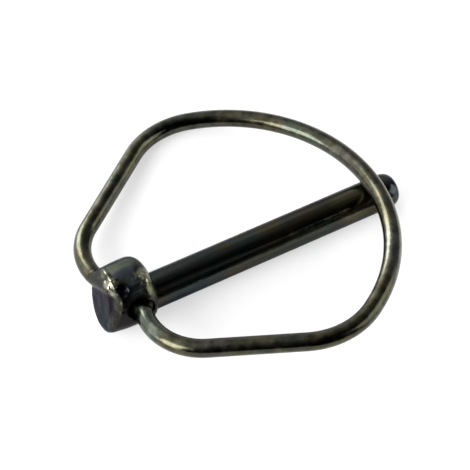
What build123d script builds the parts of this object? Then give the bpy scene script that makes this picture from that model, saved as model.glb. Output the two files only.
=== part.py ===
from build123d import *
import os
from math import atan2, cos, degrees, hypot, radians, sin, sqrt

# Retaining pin with a swinging wire bail, the kind pushed through a tube and its socket.
# One forged pin, with a fat off-centre head and a rounded tip, and one ring of spring wire
# whose two ends turn in a hole drilled askew through the head.
# All lengths are in millimetres and all angles in degrees.
#
# Each piece is drawn in the pin's own frame: X runs along the shank from head to tip,
# Z points to the side that the bail lies on, and X is zero where the bail's ring is measured from.
# Last of all the closed pin is laid down as it rests: on its head, its tip and the far side of the bail,
# because the ring's weight lies to that side of the shank.

# Shank
shank_diameter = 8.0
shank_length = 62.2  # from the back of the head to the end of the tip
tip_round_length = 2.7  # the tip's rounding, measured along the shank
tip_round_depth = 1.6  # the same rounding, measured inwards

# Head, forged off the shank's centre so that its underside is almost level with the shank
head_diameter = 14.5
head_offset = 3.1
head_back = 6.4  # where the head ends and the shank begins
head_length = 10.7  # along the head's own centre
head_back_round = 2.9
head_face_round = 0.9
flank_level = 0.9  # ahead of the back's rounding the flank is level, and fattest, for this length
flank_fall = 0.45  # how much thinner the flank is at the end face
face_lean = 14.0  # the sheared end face leans back on the bail's side
face_skew = 5.0  # and turns a little to one side

# Punch mark on the head, beside the end face
dimple_place = -1.3
dimple_angle = 56.0  # how far round the head, from its side towards the bail
dimple_ball = 1.7
dimple_depth = 0.95

# Bail: a ring of round spring wire, lying in one plane
wire_diameter = 4.0
wire_end_chamfer = 0.4
ring_reach = 62.3  # from the ring's own zero to the wire's middle over the shank
ring_tip_radius = 37.9  # wide bow across the tip
ring_shoulder_radius = 16.7  # tighter bow between the tip and the straight run
run_angle = 32.5  # how far the straight runs open from the ring's middle line
corner_back = 2.1  # the corner by the head: how far behind the ring's zero
corner_out = 16.75  # and how far out to each side
corner_radius = 13.4
ring_yaw = 5.6  # the ring's middle line is turned this far from the shank
ring_shift = -0.9  # and passes this far to one side

# Hinge: where each end of the wire bends into the head, as (along the shank, across it)
hinge_height = 3.6
near_bend_along = 1.9
near_bend_across = -7.0
far_bend_along = -2.7
far_bend_across = 7.6
hinge_bend_radius = 4.6
end_length = 5.6  # wire inside the head, from the bend's corner
pivot_clearance = 0.06  # all round the wire in its hole
near_mouth_radius = 3.0  # the hole's mouths flare, so that the bent wire swings freely in them
far_mouth_radius = 2.35
mouth_depth = 1.7  # how deep the flare goes, from the bend's corner
mouth_straight = 0.2  # where the flare has reached its full width, from the bend's corner

# Hollow worn into the head beside the near mouth, towards the end face and the bail's side
hollow_ball = 2.9
hollow_depth = 1.7
hollow_back = 0.9  # from the bend's corner towards the end face
hollow_up = 1.7  # from the hinge line towards the bail's side
rest_gap = 0.08  # between the closed bail and the shank

shank_radius = shank_diameter / 2
head_radius = head_diameter / 2
wire_radius = wire_diameter / 2
tip_end = head_back + shank_length
head_face = head_back - head_length
beyond = 2 * head_diameter  # how far cutting bodies reach past the metal


def head_profile():
    """The head's outline as (place along the pin, radius from the head's centre), cut long at the face."""
    front = head_face - head_radius
    widest = head_back - head_back_round - flank_level
    flank_span = widest - head_face
    flank_bow = (flank_span**2 + flank_fall**2) / (2 * flank_fall)
    front_fall = flank_bow - sqrt(flank_bow**2 - (widest - front) ** 2)
    quarter = 1 - cos(radians(45))
    back_middle = (head_back - head_back_round * quarter, head_radius - head_back_round * quarter)
    half_way = (front + widest) / 2
    half_fall = flank_bow - sqrt(flank_bow**2 - (widest - half_way) ** 2)
    flank_start = (front, head_radius - front_fall)
    flank_middle = (half_way, head_radius - half_fall)
    flank = ThreePointArc(flank_start, flank_middle, (widest, head_radius))
    level = Line((widest, head_radius), (head_back - head_back_round, head_radius))
    shoulder = ThreePointArc(
        (head_back - head_back_round, head_radius), back_middle, (head_back, head_radius - head_back_round)
    )
    back = Line((head_back, head_radius - head_back_round), (head_back, 0))
    centre = Line((head_back, 0), (front, 0))
    start = Line((front, 0), flank_start)
    return [flank, level, shoulder, back, centre, start]


def make_head():
    """Barrel-shaped head, turned about its own centre and sheared off askew at the end."""
    outline = make_face(head_profile())
    barrel = Pos(0, 0, head_offset) * revolve(outline, Axis.X, 360)
    face_place = Pos(head_face, 0, head_offset) * Rotation(0, face_lean, 0) * Rotation(0, 0, -face_skew)
    offcut = face_place * Pos(-beyond, 0, 0) * Box(2 * beyond, 2 * beyond, 2 * beyond)
    head = barrel - offcut
    rim = head.edges().sort_by(Axis.X)[0]
    return fillet(rim, head_face_round)


def make_shank():
    """Straight round shank with a rounded tip, from the middle of the head to the end."""
    corner = tip_end - tip_round_length
    flat = shank_radius - tip_round_depth
    top = Line((0, shank_radius), (corner, shank_radius))
    middle = (corner, flat)
    rounding = EllipticalCenterArc(middle, tip_round_length, tip_round_depth, start_angle=0, arc_size=90)
    end = Line((tip_end, flat), (tip_end, 0))
    centre = Line((tip_end, 0), (0, 0))
    start = Line((0, 0), (0, shank_radius))
    return revolve(make_face([top, rounding, end, centre, start]), Axis.X, 360)


def dimple():
    """Ball-nosed punch mark on the head's flank."""
    lift = head_radius + dimple_ball - dimple_depth
    turn = radians(dimple_angle)
    place = Pos(dimple_place, -lift * cos(turn), head_offset + lift * sin(turn))
    return place * Sphere(dimple_ball)


def crossing():
    """How far along the shank the middle of the bail's wire crosses it, before the bail is tipped."""
    bow_centre = ring_reach - ring_tip_radius
    bow_along = bow_centre * cos(radians(ring_yaw))
    bow_across = bow_centre * sin(radians(ring_yaw)) + ring_shift
    return bow_along + sqrt(ring_tip_radius**2 - bow_across**2)


def bail_tip_angle():
    """The bail lies on the shank near the tip, so it slopes up from its hinge by this angle."""
    rise = shank_radius + wire_radius + rest_gap - hinge_height
    return degrees(atan2(rise, crossing()))


def bail_place():
    """From the bail's plane, with its zero on the shank's centre, into the pin's frame."""
    return Pos(0, 0, hinge_height) * Rotation(0, -bail_tip_angle(), 0)


def turned(along, across):
    """A point of the ring's own drawing, turned and shifted into the bail's plane."""
    yaw = radians(ring_yaw)
    x = along * cos(yaw) - across * sin(yaw)
    y = along * sin(yaw) + across * cos(yaw) + ring_shift
    return Vector(x, y, 0)


def hinge_points():
    """The near and far bend corners, in the bail's plane: the hinge line runs through both."""
    near = Vector(near_bend_along, near_bend_across, 0)
    far = Vector(far_bend_along, far_bend_across, 0)
    return near, far


def shoulder_points():
    """Ends of one straight run and of its shoulder bow, and that bow's centre, in the ring's drawing."""
    slope = radians(run_angle)
    run = Vector(cos(slope), sin(slope), 0)
    inward = Vector(sin(slope), -cos(slope), 0)
    corner = Vector(-corner_back, corner_out, 0)
    bow_centre = Vector(ring_reach - ring_tip_radius, 0, 0)
    base = corner + inward * ring_shoulder_radius - bow_centre
    along = base.dot(run)
    spare = base.dot(base) - (ring_tip_radius - ring_shoulder_radius) ** 2
    travel = -along + sqrt(along**2 - spare)
    run_end = corner + run * travel
    centre = run_end + inward * ring_shoulder_radius
    outward = (centre - bow_centre).normalized()
    bow_end = bow_centre + outward * ring_tip_radius
    return run_end, bow_end, centre


def side_path(side, bend, end):
    """One half of the wire's middle line: straight run, corner, leg, and the end that turns in the head."""
    run_end, bow_end, centre = shoulder_points()
    corner = turned(-corner_back, side * corner_out)
    start = turned(run_end.X, side * run_end.Y)
    leg = FilletPolyline(start, corner, bend, end, radius=[corner_radius, hinge_bend_radius])
    bow_start = turned(bow_end.X, side * bow_end.Y)
    hub = turned(centre.X, side * centre.Y)
    middle = (start - hub).normalized() + (bow_start - hub).normalized()
    through = hub + middle.normalized() * ring_shoulder_radius
    shoulder = ThreePointArc(bow_start, through, start)
    return leg, shoulder, bow_start


def bail_path():
    """The whole wire's middle line, in the bail's plane, from the near end round to the far end."""
    near, far = hinge_points()
    inward = (far - near).normalized()
    near_leg, near_shoulder, near_bow = side_path(-1, near, near + inward * end_length)
    far_leg, far_shoulder, far_bow = side_path(1, far, far - inward * end_length)
    bow = ThreePointArc(near_bow, turned(ring_reach, 0), far_bow)
    stretches = [near_leg, near_shoulder, bow, far_shoulder, far_leg]
    return Wire([edge for stretch in stretches for edge in stretch.edges()])


def make_bail():
    """The spring wire swept round its middle line, with its two ends chamfered."""
    near, far = hinge_points()
    inward = (far - near).normalized()
    path = bail_path()
    section = Plane(origin=near + inward * end_length, z_dir=inward) * Circle(wire_radius)
    wire = sweep(section, path=path)
    ends = wire.edges().filter_by(GeomType.CIRCLE).filter_by(lambda e: abs(e.radius - wire_radius) < 1e-6)
    middle = (near + far) * 0.5
    tips = ends.sort_by(lambda e: (e.arc_center - middle).length)[0:2]
    return bail_place() * chamfer(tips, wire_end_chamfer)


def mouth(radius):
    """The cut that opens the cross hole at one side, along X from the bend's corner outwards."""
    hole = wire_radius + pivot_clearance
    points = [
        (-mouth_depth, 0),
        (-mouth_depth, hole),
        (-mouth_straight, radius),
        (beyond, radius),
        (beyond, 0),
    ]
    return revolve(make_face(Polyline(*points, close=True)), Axis.X, 360)


def worn_hollow():
    """Round hollow in the head's flank, beside the near mouth."""
    near, far = hinge_points()
    height = hinge_height + hollow_up
    flank = head_offset - height
    surface = -sqrt(head_radius**2 - flank**2)
    return Pos(near.X - hollow_back, surface - hollow_ball + hollow_depth, height) * Sphere(hollow_ball)


def cross_hole():
    """The hole drilled askew through the head for both ends of the wire, with its two flared mouths."""
    near, far = hinge_points()
    outward = (near - far).normalized()
    middle = (near + far) * 0.5
    drill = Plane(origin=middle, z_dir=outward) * Cylinder(wire_radius + pivot_clearance, 2 * beyond)
    near_mouth = Plane(origin=near, x_dir=outward, z_dir=(0, 0, 1)).location * mouth(near_mouth_radius)
    far_mouth = Plane(origin=far, x_dir=-outward, z_dir=(0, 0, 1)).location * mouth(far_mouth_radius)
    return bail_place() * (drill + near_mouth + far_mouth)


def make_pin():
    """Head and shank in one forging, with the cross hole, the worn hollow beside it and the punch mark."""
    return make_head() + make_shank() - cross_hole() - worn_hollow() - dimple()


def reach_down(points, direction):
    """How far a set of points goes in one direction."""
    return max(point.dot(direction) for point in points)


def ring_reach_down(place, radius, lift, direction):
    """How far a circle about the pin's line of travel goes in one direction."""
    side = hypot(direction.Y, direction.Z)
    return place * direction.X + lift * direction.Z + radius * side


def down_direction(pitch, roll):
    """The floor's direction as seen from the pin's frame."""
    p = radians(pitch)
    r = radians(roll)
    return Vector(sin(p), -cos(p) * sin(r), -cos(p) * cos(r))


def lie_down():
    """Pitch and roll at which the head, the tip and the far side of the bail all touch the floor."""
    path = bail_place() * bail_path()
    middle_line = [path.position_at(step / 600) for step in range(601)]
    widest = head_back - head_back_round
    tip = tip_end - tip_round_length
    low, high = 2.0, 40.0
    pitch = 0.0
    for _ in range(40):
        roll = -(low + high) / 2
        for _ in range(12):
            down = down_direction(pitch, roll)
            head_drop = ring_reach_down(widest, head_radius, head_offset, down)
            tip_drop = ring_reach_down(tip, shank_radius, 0, down)
            pitch += degrees((head_drop - tip_drop) / (tip - widest))
        down = down_direction(pitch, roll)
        bail_drop = reach_down(middle_line, down) + wire_radius
        if bail_drop > ring_reach_down(tip, shank_radius, 0, down):
            high = -roll
        else:
            low = -roll
    return pitch, roll


def resting_place(pieces):
    """From the pin's frame to the floor: turned as it rests, centred over the origin and set on z = 0."""
    pitch, roll = lie_down()
    turn = Rotation(0, pitch, 0) * Rotation(roll, 0, 0)
    box = Compound(children=[turn * piece for piece in pieces]).bounding_box()
    down = down_direction(pitch, roll)
    floor = ring_reach_down(tip_end - tip_round_length, shank_radius, 0, down)
    return Pos(-box.center().X, -box.center().Y, floor) * turn


def build():
    pin = make_pin()
    bail = make_bail()
    place = resting_place([pin, bail])
    return {"pin": place * pin, "bail": place * bail}


if __name__ == "__main__":
    os.makedirs("parts", exist_ok=True)
    for name, solid in build().items():
        export_step(solid, f"parts/{name}.step")
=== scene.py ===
import math
import bmesh
import bpy
from mathutils import Matrix, Vector, noise


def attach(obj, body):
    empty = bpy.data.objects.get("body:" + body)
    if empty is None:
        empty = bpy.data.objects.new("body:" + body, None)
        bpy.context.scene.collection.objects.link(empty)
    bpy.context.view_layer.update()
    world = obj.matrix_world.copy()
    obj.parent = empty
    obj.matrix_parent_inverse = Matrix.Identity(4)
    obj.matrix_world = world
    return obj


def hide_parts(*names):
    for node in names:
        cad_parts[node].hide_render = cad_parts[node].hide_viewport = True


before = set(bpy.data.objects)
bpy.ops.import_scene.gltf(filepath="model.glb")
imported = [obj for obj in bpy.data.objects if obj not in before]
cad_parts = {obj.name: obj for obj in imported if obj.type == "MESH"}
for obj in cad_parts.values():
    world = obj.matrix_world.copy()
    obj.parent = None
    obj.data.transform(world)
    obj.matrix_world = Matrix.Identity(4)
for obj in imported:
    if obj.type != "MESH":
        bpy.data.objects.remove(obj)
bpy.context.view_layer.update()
print("frame loaded")

mm = 0.001

# The pin's own axes: X along the shank from the head, Z towards the bail. Marks are placed in them, in mm.
pinLie = {
    "shift": (-31.3962, -3.163, 4.2106),
    "pitch": 0.1831,
    "roll": -10.2477,
}

pitchTurn = Matrix.Rotation(math.radians(pinLie["pitch"]), 4, "Y")
rollTurn = Matrix.Rotation(math.radians(pinLie["roll"]), 4, "X")
pinTurn = pitchTurn @ rollTurn
pinPlace = Matrix.Translation(Vector(pinLie["shift"]) * mm) @ pinTurn @ Matrix.Scale(mm, 4)


# Shader helpers

def addNode(tree, kind, x, y, **settings):
    node = tree.nodes.new(kind)
    node.location = (x, y)
    for name, value in settings.items():
        setattr(node, name, value)
    return node


def setInputs(node, **values):
    for name, value in values.items():
        node.inputs[name.replace("_", " ")].default_value = value


def newGroup(name, inputs, outputs):
    group = bpy.data.node_groups.new(name, "ShaderNodeTree")
    for label, kind, value in inputs:
        socket = group.interface.new_socket(label, in_out="INPUT", socket_type=kind)
        if value is not None:
            socket.default_value = value
    for label, kind in outputs:
        group.interface.new_socket(label, in_out="OUTPUT", socket_type=kind)
    start = addNode(group, "NodeGroupInput", -1100, 0)
    end = addNode(group, "NodeGroupOutput", 900, 0)
    return group, start, end


def fillRamp(ramp, stops):
    points = ramp.color_ramp.elements
    while len(points) > 1:
        points.remove(points[-1])
    points[0].position = stops[0][0]
    points[0].color = (*stops[0][1], 1)
    for place, colour in stops[1:]:
        points.new(place).color = (*colour, 1)


def noiseNode(tree, x, y, vector, scale, detail=3, rough=0.5):
    node = addNode(tree, "ShaderNodeTexNoise", x, y)
    setInputs(node, Detail=detail, Roughness=rough)
    tree.links.new(vector, node.inputs["Vector"])
    if isinstance(scale, (int, float)):
        node.inputs["Scale"].default_value = scale
    else:
        tree.links.new(scale, node.inputs["Scale"])
    return node


def mathNode(tree, x, y, kind, first, second=None):
    node = addNode(tree, "ShaderNodeMath", x, y, operation=kind)
    for slot, value in ((0, first), (1, second)):
        if value is None:
            continue
        if isinstance(value, (int, float)):
            node.inputs[slot].default_value = value
        else:
            tree.links.new(value, node.inputs[slot])
    return node.outputs[0]


def rangeNode(tree, x, y, value, low, high, toLow, toHigh):
    node = addNode(tree, "ShaderNodeMapRange", x, y, interpolation_type="SMOOTHSTEP")
    setInputs(node, From_Min=low, From_Max=high, To_Min=toLow, To_Max=toHigh)
    tree.links.new(value, node.inputs["Value"])
    return node.outputs["Result"]


def mixColours(tree, x, y, kind, factor, under, over):
    node = addNode(tree, "ShaderNodeMix", x, y, data_type="RGBA", blend_type=kind)
    for slot, value in (("Factor", factor), ("A", under), ("B", over)):
        socket = [s for s in node.inputs if s.name == slot and s.enabled][0]
        if isinstance(value, (int, float, tuple)):
            socket.default_value = value
        else:
            tree.links.new(value, socket)
    return [s for s in node.outputs if s.enabled][0]


def alongNode(tree, x, y, vector, direction):
    # how far a place lies along a direction
    node = addNode(tree, "ShaderNodeVectorMath", x, y, operation="DOT_PRODUCT")
    node.inputs[1].default_value = direction
    tree.links.new(vector, node.inputs[0])
    return node.outputs["Value"]


# Passivated zinc: thin-film tints that drift over the plating

tintStops = [
    (0.30, (0.66, 0.80, 1.15)),  # cold blue
    (0.40, (0.78, 1.05, 1.00)),  # green blue
    (0.47, (1.00, 1.00, 0.95)),  # plain
    (0.54, (1.30, 1.05, 0.66)),  # brown gold
    (0.60, (0.95, 1.10, 0.85)),  # olive
    (0.70, (1.10, 0.82, 1.05)),  # violet
]


def makeTintGroup():
    group, start, end = newGroup(
        "platingTint",
        [
            ("Vector", "NodeSocketVector", None),
            ("Patch Scale", "NodeSocketFloat", 60.0),
            ("Shade", "NodeSocketColor", (0.1, 0.1, 0.1, 1)),
            ("Strength", "NodeSocketFloat", 1.0),
        ],
        [("Color", "NodeSocketColor")],
    )
    broad = noiseNode(group, -800, 200, start.outputs["Vector"], start.outputs["Patch Scale"], 4, 0.6)
    ramp = addNode(group, "ShaderNodeValToRGB", -500, 200)
    fillRamp(ramp, tintStops)
    group.links.new(broad.outputs["Fac"], ramp.inputs["Fac"])
    shade, tints = start.outputs["Shade"], ramp.outputs["Color"]
    tinted = mixColours(group, -100, 100, "MULTIPLY", start.outputs["Strength"], shade, tints)
    group.links.new(tinted, end.inputs["Color"])
    return group


# Handling marks: fine grain all over, and small dings here and there

def makeWearGroup():
    group, start, end = newGroup(
        "handlingWear",
        [
            ("Vector", "NodeSocketVector", None),
            ("Grain Scale", "NodeSocketFloat", 2500.0),
            ("Ding Scale", "NodeSocketFloat", 260.0),
        ],
        [("Height", "NodeSocketFloat")],
    )
    grain = noiseNode(group, -800, 200, start.outputs["Vector"], start.outputs["Grain Scale"], 4, 0.6)
    dings = addNode(group, "ShaderNodeTexVoronoi", -800, -100, feature="SMOOTH_F1")
    setInputs(dings, Smoothness=0.5, Randomness=1.0)
    group.links.new(start.outputs["Vector"], dings.inputs["Vector"])
    group.links.new(start.outputs["Ding Scale"], dings.inputs["Scale"])
    pits = rangeNode(group, -500, -100, dings.outputs["Distance"], 0.05, 0.35, 0.0, 1.0)
    patch = noiseNode(group, -800, -400, start.outputs["Vector"], 110.0, 3, 0.6)  # where the dings are
    where = rangeNode(group, -500, -400, patch.outputs["Fac"], 0.50, 0.62, 0.0, 1.0)
    grainHeight = mathNode(group, -200, 200, "MULTIPLY", grain.outputs["Fac"], 0.25)
    pitHeight = mathNode(group, -200, 0, "MULTIPLY", pits, where)
    height = mathNode(group, 200, 100, "ADD", grainHeight, pitHeight)
    group.links.new(height, end.inputs["Height"])
    return group


# One soft-edged patch of another colour, round a point of the piece: used for plating tints and for painted
# light and shade

def makePatchGroup():
    group, start, end = newGroup(
        "tintAndPaintedLightPatch",
        [
            ("Vector", "NodeSocketVector", None),
            ("Centre", "NodeSocketVector", (0, 0, 0)),
            ("Radius", "NodeSocketFloat", 2.0),
            ("Under", "NodeSocketColor", (0.1, 0.1, 0.1, 1)),
            ("Over", "NodeSocketColor", (0.1, 0.1, 0.1, 1)),
        ],
        [("Color", "NodeSocketColor")],
    )
    wobble = noiseNode(group, -900, -200, start.outputs["Vector"], 0.9, 3, 0.6)
    far = addNode(group, "ShaderNodeVectorMath", -900, 200, operation="DISTANCE")
    group.links.new(start.outputs["Vector"], far.inputs[0])
    group.links.new(start.outputs["Centre"], far.inputs[1])
    share = mathNode(group, -600, 200, "DIVIDE", far.outputs["Value"], start.outputs["Radius"])
    raggedness = mathNode(group, -600, -200, "MULTIPLY", wobble.outputs["Fac"], 0.6)
    ragged = mathNode(group, -400, 0, "ADD", share, raggedness)
    mask = rangeNode(group, -100, 0, ragged, 0.75, 1.35, 1.0, 0.0)
    colour = mixColours(group, 300, 100, "MIX", mask, start.outputs["Under"], start.outputs["Over"])
    group.links.new(colour, end.inputs["Color"])
    return group


tintGroup = makeTintGroup()
wearGroup = makeWearGroup()
patchGroup = makePatchGroup()
print("shared effects made")


def placeGroup(tree, group, x, y, vector):
    node = addNode(tree, "ShaderNodeGroup", x, y, node_tree=group)
    tree.links.new(vector, node.inputs["Vector"])
    return node


def layPatches(tree, x, y, vector, colour, patches):
    for number, (place, radius, shade) in enumerate(patches):
        patch = placeGroup(tree, patchGroup, x, y - 180 * number, vector)
        setInputs(patch, Centre=place, Radius=radius, Over=shade)
        tree.links.new(colour, patch.inputs["Under"])
        colour = patch.outputs["Color"]
    return colour


def newMaterial(name):
    material = bpy.data.materials.new(name)
    material.use_nodes = True
    tree = material.node_tree
    tree.nodes.clear()
    output = addNode(tree, "ShaderNodeOutputMaterial", 900, 0)
    shader = addNode(tree, "ShaderNodeBsdfPrincipled", 600, 0)
    tree.links.new(shader.outputs["BSDF"], output.inputs["Surface"])
    coords = addNode(tree, "ShaderNodeTexCoord", -1600, 0)
    return material, tree, shader, coords.outputs["Object"]


def ownAxes(tree, coords):
    # Object coordinates turned back into the pin's own axes, in mm
    place = addNode(tree, "ShaderNodeMapping", -1400, 0, vector_type="TEXTURE")
    place.inputs["Location"].default_value = Vector(pinLie["shift"]) * mm
    place.inputs["Rotation"].default_value = pinTurn.to_euler()
    place.inputs["Scale"].default_value = (mm, mm, mm)
    tree.links.new(coords, place.inputs["Vector"])
    return place.outputs["Vector"]


# Pin: one forging. Its surface is the solid's, made even, then worked with the marks that it shows.

pinShape = {
    "grain": 0.19 * mm,  # size of its small faces
    "mergeReach": 0.0005 * mm,  # points of the solid's mesh closer than this are one
    "faceCentre": (-4.3, 0.0, 3.1),
    "faceOut": (-0.9666, 0.0870, 0.2409),
    "faceSide": (0.0850, 0.9960, -0.0210),
    "faceUp": (0.2418, 0.0, 0.9702),
    "wireSlope": 31.0,  # the bare wire crosses the end face at this angle, this far from its middle
    "wireOffset": 4.26,
    "wireRadius": 1.96,
    "wirePath": [
        (-2.82, 8.3, 3.5),
        (-2.66, 7.4, 3.5),
        (-2.6, 6.3, 3.85),
        (-2.3, 2.2, 6.3),
        (-1.75, -2.2, 8.8),
    ],
    "sideCut": 3.46,  # past this the end face falls away towards the near mouth
    "sideWay": (-0.812, 0.583),  # in this direction, as (side, up) in the face
    "sideFall": 0.42,  # this much for each mm
    "sideTop": 4.2,  # and only this far up towards the bare wire
    "burrs": [
        [(-2.1, 3.3, 9.2), (-2.3, 1.1, 9.95), (-2.35, -0.9, 10.05), (-2.4, -2.6, 9.65), (-2.5, -3.9, 9.0)],
        [(-3.2, 0.4, 8.6), (-3.4, -1.6, 8.7), (-3.5, -3.4, 8.4)],
    ],
    "burrRaise": 0.48,
    "burrWidth": 0.8,
    "burrEven": 0.7,  # share of its height that it keeps all along
    "burrUneven": 0.5,
    "burrLumps": 0.8,  # lumps for each mm, here and below
    "hammerLumps": 0.75,
    "hammerFineShare": 0.25,
    "hammerFineLumps": 1.9,
    "headWaver": 0.05,
    "shankWaver": 0.012,
    "waverLumps": 0.42,
    "headEnd": 7.5,  # along the shank, where the head's waver ends
    "marksEnd": 6.6,  # and where the worked marks end
    "evenRounds": 3,  # smoothing after the remesh, everywhere
    "seamRounds": 6,  # and near the end face, where the wire melts into it
    "seamReach": 1.2,
    "hammered": [  # place, radius, depth
        ((-3.2, -5.9, 6.9), 2.4, 0.24),
        ((4.0, -1.7, 9.9), 1.5, 0.30),
        ((4.0, -3.2, 9.4), 1.6, 0.32),
        ((3.8, -5.0, 8.3), 1.5, 0.16),
        ((-4.6, -5.0, 1.5), 2.0, 0.14),
    ],
}


def faceCoords(point):
    away = point - Vector(pinShape["faceCentre"])
    return (
        away.dot(Vector(pinShape["faceSide"])),
        away.dot(Vector(pinShape["faceUp"])),
        away.dot(Vector(pinShape["faceOut"])),
    )


def sideDrop(point):
    # how far the end face has been beaten back beside the near mouth
    side, up, out = faceCoords(point)
    waySide, wayUp = pinShape["sideWay"]
    past = wayUp * up + waySide * side - pinShape["sideCut"]
    slope = math.radians(pinShape["wireSlope"])
    across = side * math.sin(slope) + up * math.cos(slope)
    if past <= 0 or across > pinShape["sideTop"]:
        return 0.0
    share = min(1.0, pinShape["sideTop"] - across)
    return min(0.0, -pinShape["sideFall"] * past - out) * share


def segmentDistance(point, start, end):
    along = end - start
    share = min(max((point - start).dot(along) / along.length_squared, 0), 1)
    return (point - start - along * share).length


def burrRaise(point):
    near = min(
        segmentDistance(point, Vector(a), Vector(b))
        for stops in pinShape["burrs"]
        for a, b in zip(stops, stops[1:])
    )
    width = pinShape["burrWidth"]
    if near >= width:
        return 0.0
    lumps = pinShape["burrEven"] + pinShape["burrUneven"] * noise.noise(point * pinShape["burrLumps"])
    return pinShape["burrRaise"] * lumps * (0.5 + 0.5 * math.cos(math.pi * near / width))


def hammerMarks(point):
    height = 0.0
    for centre, radius, depth in pinShape["hammered"]:
        away = (point - Vector(centre)).length / radius
        if away < 1:
            lumps = noise.noise(point * pinShape["hammerLumps"])
            lumps += pinShape["hammerFineShare"] * noise.noise(point * pinShape["hammerFineLumps"])
            height += depth * lumps * (1 - away * away)
    return height


def forgeWaver(point):
    # the forging is a little uneven all over, more on the head than along the shank, and never past its size
    amount = pinShape["headWaver"] if point.x < pinShape["headEnd"] else pinShape["shankWaver"]
    return amount * (noise.noise(point * pinShape["waverLumps"]) - 0.5)


def makeBareWire():
    # the wire's far end, bare across the top of the end face
    curve = bpy.data.curves.new("bareWire", "CURVE")
    curve.dimensions = "3D"
    curve.bevel_depth = pinShape["wireRadius"] * mm
    curve.bevel_resolution = 8
    curve.resolution_u = 12
    curve.use_fill_caps = True
    line = curve.splines.new("NURBS")
    line.points.add(len(pinShape["wirePath"]) - 1)
    for spot, place in zip(line.points, pinShape["wirePath"]):
        spot.co = (*(pinPlace @ Vector(place)), 1)
    line.use_endpoint_u = True
    line.order_u = 3
    wire = bpy.data.objects.new("bareWire", curve)
    mesh = bpy.data.meshes.new_from_object(wire)
    bpy.data.objects.remove(wire)
    return mesh


def makePinShape():
    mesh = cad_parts["pin"].data.copy()
    body = bmesh.new()
    body.from_mesh(mesh)
    bmesh.ops.remove_doubles(body, verts=body.verts, dist=pinShape["mergeReach"])
    bmesh.ops.recalc_face_normals(body, faces=body.faces)
    body.from_mesh(makeBareWire())
    body.to_mesh(mesh)
    body.free()
    piece = bpy.data.objects.new("pinForging", mesh)
    bpy.context.scene.collection.objects.link(piece)
    even = piece.modifiers.new("evenFaces", "REMESH")
    even.mode = "VOXEL"
    even.voxel_size = pinShape["grain"]
    even.adaptivity = 0
    shape = bpy.data.meshes.new_from_object(piece.evaluated_get(bpy.context.evaluated_depsgraph_get()))
    piece.modifiers.clear()
    piece.data = shape
    ownPlace = pinPlace.inverted()
    body = bmesh.new()
    body.from_mesh(shape)
    seam = [vert for vert in body.verts if abs(faceCoords(ownPlace @ vert.co)[2]) < pinShape["seamReach"]]
    allWays = {"factor": 0.5, "use_axis_x": True, "use_axis_y": True, "use_axis_z": True}
    for _ in range(pinShape["evenRounds"]):
        bmesh.ops.smooth_vert(body, verts=body.verts, **allWays)
    for _ in range(pinShape["seamRounds"]):
        bmesh.ops.smooth_vert(body, verts=seam, **allWays)
    body.normal_update()
    ownTurn = pinTurn.inverted().to_3x3()
    moves = []
    for vert in body.verts:
        point = ownPlace @ vert.co
        normal = ownTurn @ vert.normal
        height = forgeWaver(point)
        drop = 0.0
        if point.x < pinShape["marksEnd"]:
            height += burrRaise(point) + hammerMarks(point)
        if point.x < 0:
            drop = sideDrop(point)
        moves.append((vert, Vector(pinShape["faceOut"]) * drop + normal * height))
    bodyTurn = pinTurn.to_3x3()
    for vert, move in moves:
        vert.co += bodyTurn @ move * mm
    for face in body.faces:
        face.smooth = True
    body.to_mesh(shape)
    body.free()
    return piece


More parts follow.
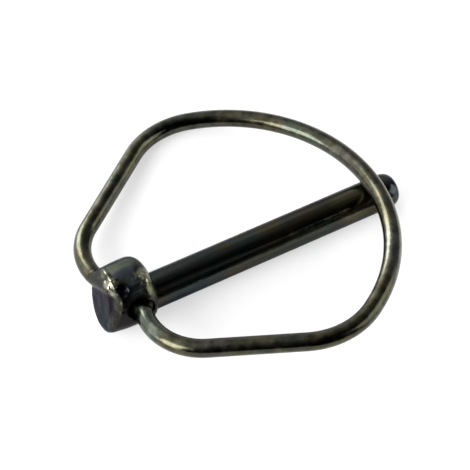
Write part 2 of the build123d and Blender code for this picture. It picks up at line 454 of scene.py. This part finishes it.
pinLook = {
    "shade": (0.031, 0.033, 0.032, 1),
    "edgeShade": (0.60, 0.60, 0.63, 1),  # how much of its brightness at a slant the plating keeps
    # the end face: violet tint, darkened as painted shade for the dark room it mirrors
    "faceTintAndPaintedShade": (0.0105, 0.0088, 0.0125, 1),
    "oliveShade": (0.034, 0.034, 0.025, 1),  # the bare wire
    "patchScale": 70.0,
    "faceEdge": (0.9, 0.35),  # depths behind the end face between which its colour comes in
    "wireEdge": (0.5, 0.6),  # below and above the bare wire's lower edge
    "streakScale": 0.55,
    "streakStretch": 0.03,
    "streakDark": 0.65,
    "streakLight": 1.4,
    "streakHeight": 0.8,
    "headStreaks": 0.12,  # share of the streaks that shows on the head
    "roughLow": 0.14,
    "roughHigh": 0.27,
    "headRough": 0.08,
    "grainScale": 2400.0,
    "dingScale": 300.0,
    "bumpStrength": 0.5,
    "bumpDepth": 0.05,
    "patches": [  # place, radius, colour; plating tints, and painted light and shade where said
        ((-5.2, -3.0, 0.3), 4.2, (0.0065, 0.0130, 0.0135, 1)),  # blue green, low on the face, as dark as the face's painted shade
        ((-6.3, 3.6, -2.4), 3.0, (0.026, 0.0085, 0.0080, 1)),  # reddish, low on the far side
        ((-4.4, -6.2, 2.6), 3.0, (0.030, 0.030, 0.028, 1)),  # beaten metal beside the near mouth
        ((-3.3, -6.0, 6.6), 2.6, (0.030, 0.028, 0.022, 1)),
        ((-2.2, 2.7, 9.6), 2.0, (0.16, 0.16, 0.12, 1)),  # painted highlight along the rim, this line and the next
        ((-2.9, -1.6, 9.3), 2.2, (0.18, 0.18, 0.135, 1)),
        ((-3.1, -2.8, 8.9), 2.0, (0.27, 0.27, 0.21, 1)),  # painted highlight on the burr
        ((4.6, -2.0, 9.6), 1.9, (0.30, 0.30, 0.23, 1)),  # painted highlights on the hammered shoulder, this line and the next two
        ((4.6, -3.7, 8.9), 2.0, (0.27, 0.27, 0.20, 1)),
        ((4.6, -5.6, 7.7), 2.2, (0.080, 0.086, 0.054, 1)),
        ((1.5, 3.6, 9.4), 5.0, (0.052, 0.060, 0.044, 1)),  # painted olive reflection on top of the flank
        ((-0.3, -0.4, 10.2), 1.6, (0.030, 0.034, 0.041, 1)),  # painted dark reflection in a band along the flank, this line and the next two
        ((1.4, -0.4, 10.2), 1.6, (0.030, 0.034, 0.041, 1)),
        ((3.0, -0.3, 10.1), 1.6, (0.030, 0.034, 0.041, 1)),
        ((1.2, -4.2, 9.0), 3.0, (0.092, 0.110, 0.114, 1)),  # painted blue grey reflection below the band
        ((-2.0, -7.1, 3.0), 4.2, (0.016, 0.015, 0.014, 1)),  # painted shade under the near mouth
        ((-1.2, -4.0, 9.1), 2.6, (0.002, 0.002, 0.003, 1)),  # painted shade in the punch mark
        ((1.4, -7.4, 6.0), 2.8, (0.006, 0.006, 0.006, 1)),  # and painted shade round the near mouth
        ((56.0, -1.8, 3.2), 5.5, (0.062, 0.058, 0.036, 1)),  # painted golden reflection of the bail in the shank
        ((68.0, -1.0, 1.5), 4.0, (0.044, 0.054, 0.060, 1)),  # bluish tip
    ],
}


def makePinMetal():
    material, tree, shader, coords = newMaterial("pinSteel")
    own = ownAxes(tree, coords)
    tint = placeGroup(tree, tintGroup, -900, 300, coords)
    setInputs(tint, Patch_Scale=pinLook["patchScale"], Shade=pinLook["shade"])
    colour = tint.outputs["Color"]
    # the sheared end face, darkened with painted shade, and the bare wire's band across the top of it
    out = Vector(pinShape["faceOut"])
    centre = Vector(pinShape["faceCentre"])
    slope = math.radians(pinShape["wireSlope"])
    rise = Vector(pinShape["faceSide"]) * math.sin(slope) + Vector(pinShape["faceUp"]) * math.cos(slope)
    depth = alongNode(tree, -1100, -200, own, out)
    height = alongNode(tree, -1100, -400, own, rise)
    base = centre.dot(out)
    deep, shallow = pinLook["faceEdge"]
    onFace = rangeNode(tree, -900, -200, depth, base - deep, base - shallow, 0.0, 1.0)
    edge = centre.dot(rise) + pinShape["wireOffset"] - pinShape["wireRadius"]
    below, above = pinLook["wireEdge"]
    onWire = rangeNode(tree, -900, -400, height, edge - below, edge + above, 0.0, 1.0)
    bare = mathNode(tree, -700, -400, "MULTIPLY", onFace, onWire)
    colour = mixColours(tree, -600, 200, "MIX", onFace, colour, pinLook["faceTintAndPaintedShade"])
    colour = mixColours(tree, -400, 200, "MIX", bare, colour, pinLook["oliveShade"])
    colour = layPatches(tree, -200, 200, own, colour, pinLook["patches"])
    # drawing streaks along the shank
    stretch = addNode(tree, "ShaderNodeMapping", -1100, -700)
    stretch.inputs["Scale"].default_value = (pinLook["streakStretch"], 1, 1)
    tree.links.new(own, stretch.inputs["Vector"])
    streaks = noiseNode(tree, -900, -700, stretch.outputs["Vector"], pinLook["streakScale"], 4, 0.65)
    wear = placeGroup(tree, wearGroup, -900, -900, coords)
    setInputs(wear, Grain_Scale=pinLook["grainScale"], Ding_Scale=pinLook["dingScale"])
    dark, light = pinLook["streakDark"], pinLook["streakLight"]
    streaky = rangeNode(tree, -600, -700, streaks.outputs["Fac"], 0.32, 0.68, dark, light)
    length = addNode(tree, "ShaderNodeSeparateXYZ", -1100, -900)
    tree.links.new(own, length.inputs[0])
    onShank = rangeNode(tree, -900, -1100, length.outputs["X"], 6.0, 8.0, pinLook["headStreaks"], 1.0)
    colour = mixColours(tree, 200, 200, "MULTIPLY", onShank, colour, streaky)
    low, high = pinLook["roughLow"], pinLook["roughHigh"]
    rough = rangeNode(tree, -200, -500, streaks.outputs["Fac"], 0.3, 0.7, low, high)
    onHead = rangeNode(tree, -700, -1100, length.outputs["X"], 5.0, 7.0, pinLook["headRough"], 0.0)
    rough = mathNode(tree, 0, -500, "ADD", rough, onHead)
    streakHeight = mathNode(tree, -300, -700, "MULTIPLY", streaks.outputs["Fac"], pinLook["streakHeight"])
    total = mathNode(tree, 0, -700, "ADD", wear.outputs["Height"], streakHeight)
    bump = addNode(tree, "ShaderNodeBump", 300, -500)
    setInputs(bump, Strength=pinLook["bumpStrength"], Distance=pinLook["bumpDepth"] * mm)
    tree.links.new(total, bump.inputs["Height"])
    tree.links.new(colour, shader.inputs["Base Color"])
    tree.links.new(rough, shader.inputs["Roughness"])
    tree.links.new(bump.outputs["Normal"], shader.inputs["Normal"])
    setInputs(shader, Metallic=1.0, Specular_Tint=pinLook["edgeShade"])
    return material


bailLook = {
    "shade": (0.047, 0.0475, 0.0365, 1),
    "patchScale": 60.0,
    "tintStrength": 0.5,
    "smudgeScale": 420.0,
    "smudgeDark": 0.7,
    "smudgeLight": 1.3,
    "roughLow": 0.14,
    "roughHigh": 0.27,
    "grainScale": 2200.0,
    "dingScale": 340.0,
    "bumpStrength": 0.5,
    "bumpDepth": 0.04,
    "patches": [  # place along the closed wire in the pin's axes, radius, colour; plating tints, and painted light where said
        ((50.0, 8.0, 5.6), 11.0, (0.075, 0.092, 0.085, 1)),  # paler and bluish before the tip
        ((61.0, -24.0, 5.0), 13.0, (0.088, 0.092, 0.078, 1)),  # paler past the tip: painted light for a brighter lamp highlight on its inside
        ((1.5, -10.5, 3.7), 6.5, (0.070, 0.080, 0.064, 1)),  # and where it leaves the near mouth
        ((22.0, 31.5, 4.5), 9.0, (0.062, 0.062, 0.040, 1)),  # golden at the far shoulder
    ],
}


def makeBailMetal():
    material, tree, shader, coords = newMaterial("springWire")
    tint = placeGroup(tree, tintGroup, -600, 200, coords)
    setInputs(tint, Patch_Scale=bailLook["patchScale"], Shade=bailLook["shade"])
    setInputs(tint, Strength=bailLook["tintStrength"])
    wear = placeGroup(tree, wearGroup, -600, -200, coords)
    setInputs(wear, Grain_Scale=bailLook["grainScale"], Ding_Scale=bailLook["dingScale"])
    fine = noiseNode(tree, -600, -500, coords, bailLook["smudgeScale"], 4, 0.65)
    dark, light = bailLook["smudgeDark"], bailLook["smudgeLight"]
    smudge = rangeNode(tree, -300, -500, fine.outputs["Fac"], 0.35, 0.65, dark, light)
    colour = tint.outputs["Color"]
    own = ownAxes(tree, coords)
    colour = layPatches(tree, -300, 500, own, colour, bailLook["patches"])
    colour = mixColours(tree, 0, 200, "MULTIPLY", 1.0, colour, smudge)
    low, high = bailLook["roughLow"], bailLook["roughHigh"]
    rough = rangeNode(tree, 0, -100, fine.outputs["Fac"], 0.3, 0.7, low, high)
    bump = addNode(tree, "ShaderNodeBump", 300, -400)
    setInputs(bump, Strength=bailLook["bumpStrength"], Distance=bailLook["bumpDepth"] * mm)
    tree.links.new(wear.outputs["Height"], bump.inputs["Height"])
    tree.links.new(colour, shader.inputs["Base Color"])
    tree.links.new(rough, shader.inputs["Roughness"])
    tree.links.new(bump.outputs["Normal"], shader.inputs["Normal"])
    setInputs(shader, Metallic=1.0)
    return material


def dress(piece, material):
    piece.data.materials.clear()
    piece.data.materials.append(material)


pinForging = makePinShape()
dress(pinForging, makePinMetal())
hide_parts("pin")
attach(pinForging, "pin")
print("pin made, faces:", len(pinForging.data.polygons))

dress(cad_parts["bail"], makeBailMetal())
print("bail dressed")


# Floor, lamps and world

studio = {
    "floorSize": 4.0,
    "floorColour": (0.94, 0.94, 0.94, 1),
    "floorLift": 0.55,  # share of plain white in what the camera sees of the floor
    "metalLift": 0.05,  # and in what the metal mirrors of it
    "lamps": {
        # name: (turn from +Y towards +X, height above the floor in degrees, distance, width, height, power)
        "sideLamp": (-94, 25, 1.2, 0.68, 0.85, 20.5),
        "backLamp": (-14, 20, 1.2, 0.47, 0.78, 13.5),
        "farLamp": (120, 25, 1.2, 1.0, 0.85, 7.4),
    },
    "sky": [  # (direction, light levels from straight away from it at 0 to straight towards it at 1)
        ((-0.75, 0.55, 0.35), [(0.50, 0.0), (0.60, 0.03), (0.69, 0.14), (0.79, 1.2), (1.0, 2.5)]),
        ((0.34, 0.94, 0.0), [(0.42, 0.0), (0.60, 0.14), (0.72, 0.20), (0.84, 0.30), (0.955, 0.9)]),
    ],
}


def makeFloor():
    bpy.ops.mesh.primitive_plane_add(size=studio["floorSize"])
    floor = bpy.context.object
    floor.name = "floor"
    material = bpy.data.materials.new("floorPaper")
    material.use_nodes = True
    tree = material.node_tree
    tree.nodes.clear()
    output = addNode(tree, "ShaderNodeOutputMaterial", 600, 0)
    paper = addNode(tree, "ShaderNodeBsdfPrincipled", -200, 100)
    setInputs(paper, Base_Color=studio["floorColour"], Roughness=0.9)
    white = addNode(tree, "ShaderNodeEmission", -200, -300)
    setInputs(white, Strength=1.0)
    light = addNode(tree, "ShaderNodeLightPath", -600, 300)
    seen = mathNode(tree, -400, 400, "MULTIPLY", light.outputs["Is Camera Ray"], studio["floorLift"])
    mirrored = mathNode(tree, -400, 200, "MULTIPLY", light.outputs["Is Glossy Ray"], studio["metalLift"])
    share = mathNode(tree, -200, 300, "MAXIMUM", seen, mirrored)
    mix = addNode(tree, "ShaderNodeMixShader", 300, 0)
    tree.links.new(share, mix.inputs["Fac"])
    tree.links.new(paper.outputs["BSDF"], mix.inputs[1])
    tree.links.new(white.outputs["Emission"], mix.inputs[2])
    tree.links.new(mix.outputs["Shader"], output.inputs["Surface"])
    floor.data.materials.append(material)


def skyward(turn, height):
    turn, height = math.radians(turn), math.radians(height)
    return Vector((math.sin(turn) * math.cos(height), math.cos(turn) * math.cos(height), math.sin(height)))


def addLamp(name, turn, height, distance, sizeX, sizeY, power):
    lamp = bpy.data.lights.new(name, "AREA")
    lamp.shape = "RECTANGLE"
    lamp.size = sizeX
    lamp.size_y = sizeY
    lamp.energy = power
    holder = bpy.data.objects.new(name, lamp)
    bpy.context.scene.collection.objects.link(holder)
    place = skyward(turn, height) * distance
    holder.location = place
    holder.rotation_euler = (-place).to_track_quat("-Z", "Y").to_euler()


def makeWorld():
    # two bright sides that fade upwards, and a dark room behind the camera
    world = bpy.data.worlds.new("studio")
    world.use_nodes = True
    tree = world.node_tree
    background = tree.nodes["Background"]
    coords = addNode(tree, "ShaderNodeTexCoord", -1100, 0)
    brightest = max(level for side, stops in studio["sky"] for place, level in stops)
    levels = []
    for row, (side, stops) in enumerate(studio["sky"]):
        facing = alongNode(tree, -900, -300 * row, coords.outputs["Generated"], Vector(side).normalized())
        share = addNode(tree, "ShaderNodeMapRange", -700, -300 * row)
        setInputs(share, From_Min=-1.0)
        tree.links.new(facing, share.inputs["Value"])
        ramp = addNode(tree, "ShaderNodeValToRGB", -500, -300 * row)
        ramp.color_ramp.interpolation = "EASE"
        fillRamp(ramp, [(place, (level / brightest,) * 3) for place, level in stops])
        tree.links.new(share.outputs["Result"], ramp.inputs["Fac"])
        levels.append(ramp.outputs["Color"])
    total = mathNode(tree, -200, 0, "ADD", *levels)
    tree.links.new(total, background.inputs["Color"])
    background.inputs["Strength"].default_value = brightest
    bpy.context.scene.world = world


makeFloor()
for name, values in studio["lamps"].items():
    addLamp(name, *values)
makeWorld()
print("studio made")


# Camera, at the photograph's place

cameraView = {
    "aim": (-1.79, 0.46, 6.0),
    "distance": 381.58,
    "turn": 34.854,  # degrees from +Y towards +X
    "down": 56.964,
    "roll": 7.005,
    "lens": 133.3,
}


def makeCamera():
    forward = skyward(cameraView["turn"], -cameraView["down"])
    data = bpy.data.cameras.new("photoCamera")
    data.lens = cameraView["lens"]
    data.sensor_width = 36
    camera = bpy.data.objects.new("photoCamera", data)
    bpy.context.scene.collection.objects.link(camera)
    place = Vector(cameraView["aim"]) * mm - forward * cameraView["distance"] * mm
    facing = forward.to_track_quat("-Z", "Y").to_matrix().to_4x4()
    tilt = Matrix.Rotation(math.radians(cameraView["roll"]), 4, "Z")
    camera.matrix_world = Matrix.Translation(place) @ facing @ tilt
    bpy.context.scene.camera = camera


makeCamera()
bpy.context.scene.view_settings.view_transform = "Standard"
print("camera made")
